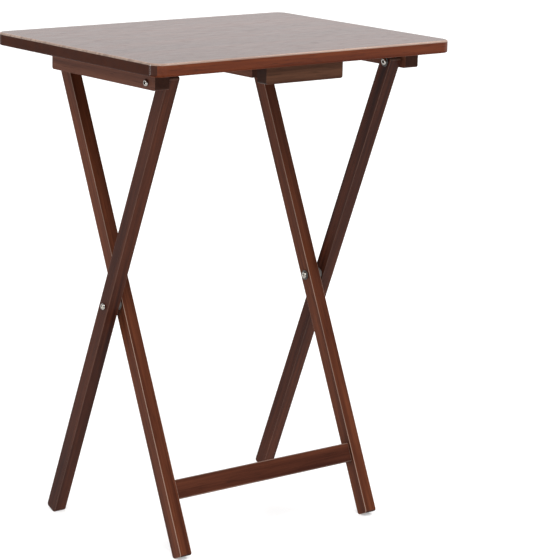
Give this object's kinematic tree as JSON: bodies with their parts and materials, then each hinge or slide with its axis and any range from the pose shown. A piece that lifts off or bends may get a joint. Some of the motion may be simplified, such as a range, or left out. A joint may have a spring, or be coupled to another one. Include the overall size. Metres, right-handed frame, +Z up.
{
  "type": "folding tray table",
  "caption": "Small wooden folding table with a round-cornered tray top on crossed legs that fold like scissors.",
  "frame": {"origin": "on the floor under the middle of the tray", "axes": "+Z up, +X along the tray's long side, +Y towards the back, with the front edge at -Y"},
  "size_m": [0.483, 0.368, 0.659],
  "materials": {
    "tray_wood": "dark red-brown stain under glossy clear lacquer",
    "frame_wood": "dark red-brown stain under satin lacquer",
    "bare_wood": "bare beech",
    "zinc_steel": "bright zinc",
    "dark_steel": "dark phosphate",
    "grey_nylon": "matte moulded nylon"
  },
  "bodies": {
    "outer_legs": {"outer_leg_left": "frame_wood", "outer_leg_right": "frame_wood", "tray_pivot_bolt_left": "zinc_steel", "tray_pivot_bolt_right": "zinc_steel", "tray_pivot_spacer_left": "grey_nylon", "tray_pivot_spacer_right": "grey_nylon", "tray_pivot_washer_left": "dark_steel", "tray_pivot_washer_right": "dark_steel", "tray_pivot_sleeve_nut_left": "zinc_steel", "tray_pivot_sleeve_nut_right": "zinc_steel", "crossing_bolt_left": "zinc_steel", "crossing_bolt_right": "zinc_steel", "crossing_spacer_left": "grey_nylon", "crossing_spacer_right": "grey_nylon", "crossing_washer_left": "dark_steel", "crossing_washer_right": "dark_steel", "crossing_sleeve_nut_left": "zinc_steel", "crossing_sleeve_nut_right": "zinc_steel"},
    "inner_legs": {"inner_leg_left": "frame_wood", "inner_leg_right": "frame_wood", "top_crossbar": "frame_wood", "low_stretcher": "frame_wood", "dowel_crossbar_left": "bare_wood", "dowel_crossbar_right": "bare_wood", "dowel_stretcher_upper_left": "bare_wood", "dowel_stretcher_upper_right": "bare_wood", "dowel_stretcher_lower_left": "bare_wood", "dowel_stretcher_lower_right": "bare_wood"},
    "tray": {"tray_top": "tray_wood", "cleat_left": "frame_wood", "cleat_right": "frame_wood", "front_block": "frame_wood", "centre_runner": "frame_wood", "screw_cleat_left_1": "dark_steel", "screw_cleat_left_2": "dark_steel", "screw_cleat_right_1": "dark_steel", "screw_cleat_right_2": "dark_steel", "screw_front_block_1": "dark_steel", "screw_front_block_2": "dark_steel", "screw_centre_runner_1": "dark_steel", "screw_centre_runner_2": "dark_steel", "screw_centre_runner_3": "dark_steel"}
  },
  "joints": [
    {"name": "tray_swing", "type": "hinge", "parent": "outer_legs", "child": "tray", "pos_m": [0, -0.127, 0.628], "axis": [1, 0, 0], "range_deg": [0, 112]},
    {"name": "leg_fold", "type": "hinge", "parent": "outer_legs", "child": "inner_legs", "pos_m": [0, 0, 0.315], "axis": [1, 0, 0], "range_deg": [0, 45.7]}
  ],
  "couplings": [
    {"joint": "leg_fold", "follows": "tray_swing", "ratio": 0.408}
  ]
}
